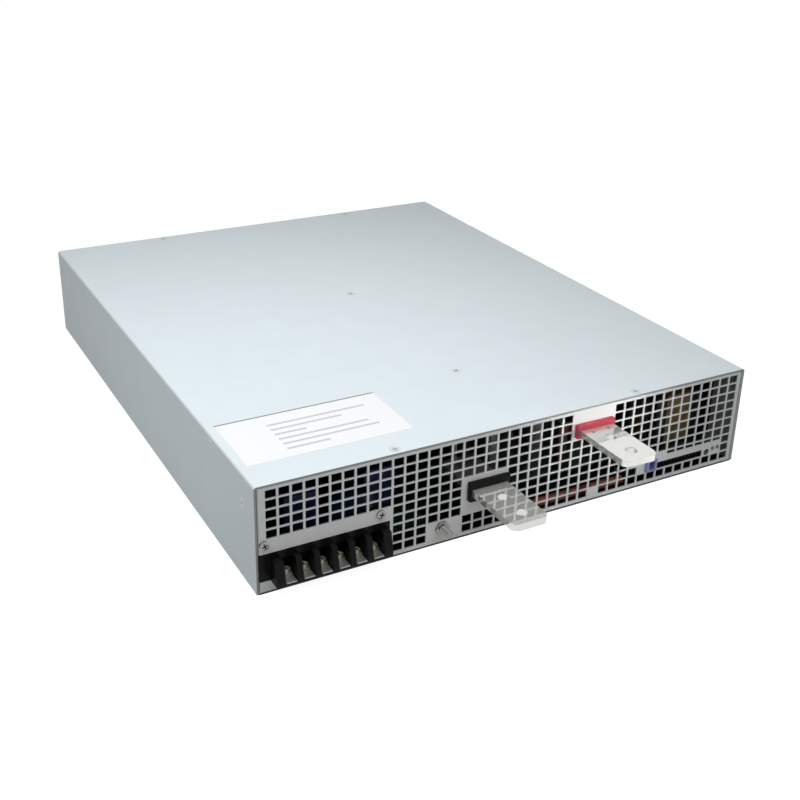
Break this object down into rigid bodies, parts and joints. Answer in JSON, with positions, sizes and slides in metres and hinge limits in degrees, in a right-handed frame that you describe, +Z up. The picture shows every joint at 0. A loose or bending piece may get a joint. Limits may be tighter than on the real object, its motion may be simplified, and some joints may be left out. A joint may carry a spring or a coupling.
{
  "type": "industrial power supply",
  "caption": "Low, rack-wide enclosed power supply with a punched front grille, input terminal block, flat output bars, ground stud and rear fans.",
  "frame": {"origin": "centre of the case's underside", "axes": "+Z up, -Y out of the front grille, +X to the right seen from the front"},
  "size_m": [0.424, 0.5775, 0.0837],
  "materials": {
    "galvanised_sheet": "satin",
    "zinc_steel": "satin",
    "plated_copper": "bright",
    "bare_copper": "satin",
    "white_film": "matte",
    "black_plastic": "matte",
    "red_plastic": "gloss",
    "blue_plastic": "gloss",
    "white_plastic": "matte",
    "lamp_resin": "gloss",
    "green_board": "satin",
    "ferrite": "matte",
    "tan_tape": "satin",
    "aluminium": "satin",
    "red_rubber": "satin"
  },
  "bodies": {
    "case": {"bar_sleeve_black": "black_plastic", "bar_sleeve_red": "red_plastic", "base_pan": "galvanised_sheet", "blank_label": "white_film", "blue_connector": "blue_plastic", "board_standoffs": "zinc_steel", "bulk_capacitors": "aluminium", "bus_bar_negative": "plated_copper", "bus_bar_positive": "plated_copper", "bus_link_negative": "bare_copper", "bus_link_positive": "bare_copper", "control_board": "green_board", "cover": "galvanised_sheet", "cover_posts": "zinc_steel", "emi_chokes": "ferrite", "fan_frame_1": "black_plastic", "fan_frame_2": "black_plastic", "fan_frame_3": "black_plastic", "film_capacitors": "blue_plastic", "flange_screws": "zinc_steel", "front_panel": "galvanised_sheet", "ground_stud": "zinc_steel", "header_pins": "plated_copper", "input_board": "green_board", "input_fuses": "white_plastic", "input_relay": "black_plastic", "main_board": "green_board", "output_board": "green_board", "output_capacitors": "aluminium", "output_chokes": "bare_copper", "power_transistors": "black_plastic", "primary_heatsink": "aluminium", "rear_panel": "galvanised_sheet", "secondary_heatsink": "aluminium", "sense_leads": "red_rubber", "signal_header": "black_plastic", "status_leds": "lamp_resin", "terminal_block": "black_plastic", "terminal_clamps": "plated_copper", "terminal_plates": "plated_copper", "terminal_screws": "zinc_steel", "transformer_cores": "ferrite", "transformer_windings": "tan_tape", "trim_pot_body": "blue_plastic"},
    "fan_rotor_1": {"fan_impeller_1": "black_plastic"},
    "fan_rotor_2": {"fan_impeller_2": "black_plastic"},
    "fan_rotor_3": {"fan_impeller_3": "black_plastic"},
    "trim_rotor": {"trim_pot_rotor": "white_plastic"}
  },
  "joints": [
    {"name": "fan_1_spin", "type": "hinge", "parent": "case", "child": "fan_rotor_1", "pos_m": [-0.15, 0.2375, 0.04175], "axis": [0, 1, 0], "continuous": true},
    {"name": "fan_2_spin", "type": "hinge", "parent": "case", "child": "fan_rotor_2", "pos_m": [0, 0.2375, 0.04175], "axis": [0, 1, 0], "continuous": true},
    {"name": "fan_3_spin", "type": "hinge", "parent": "case", "child": "fan_rotor_3", "pos_m": [0.15, 0.2375, 0.04175], "axis": [0, 1, 0], "continuous": true},
    {"name": "trim_turn", "type": "hinge", "parent": "case", "child": "trim_rotor", "pos_m": [0.1824, -0.257, 0.0146], "axis": [0, 1, 0], "range_deg": [-135, 135]}
  ]
}
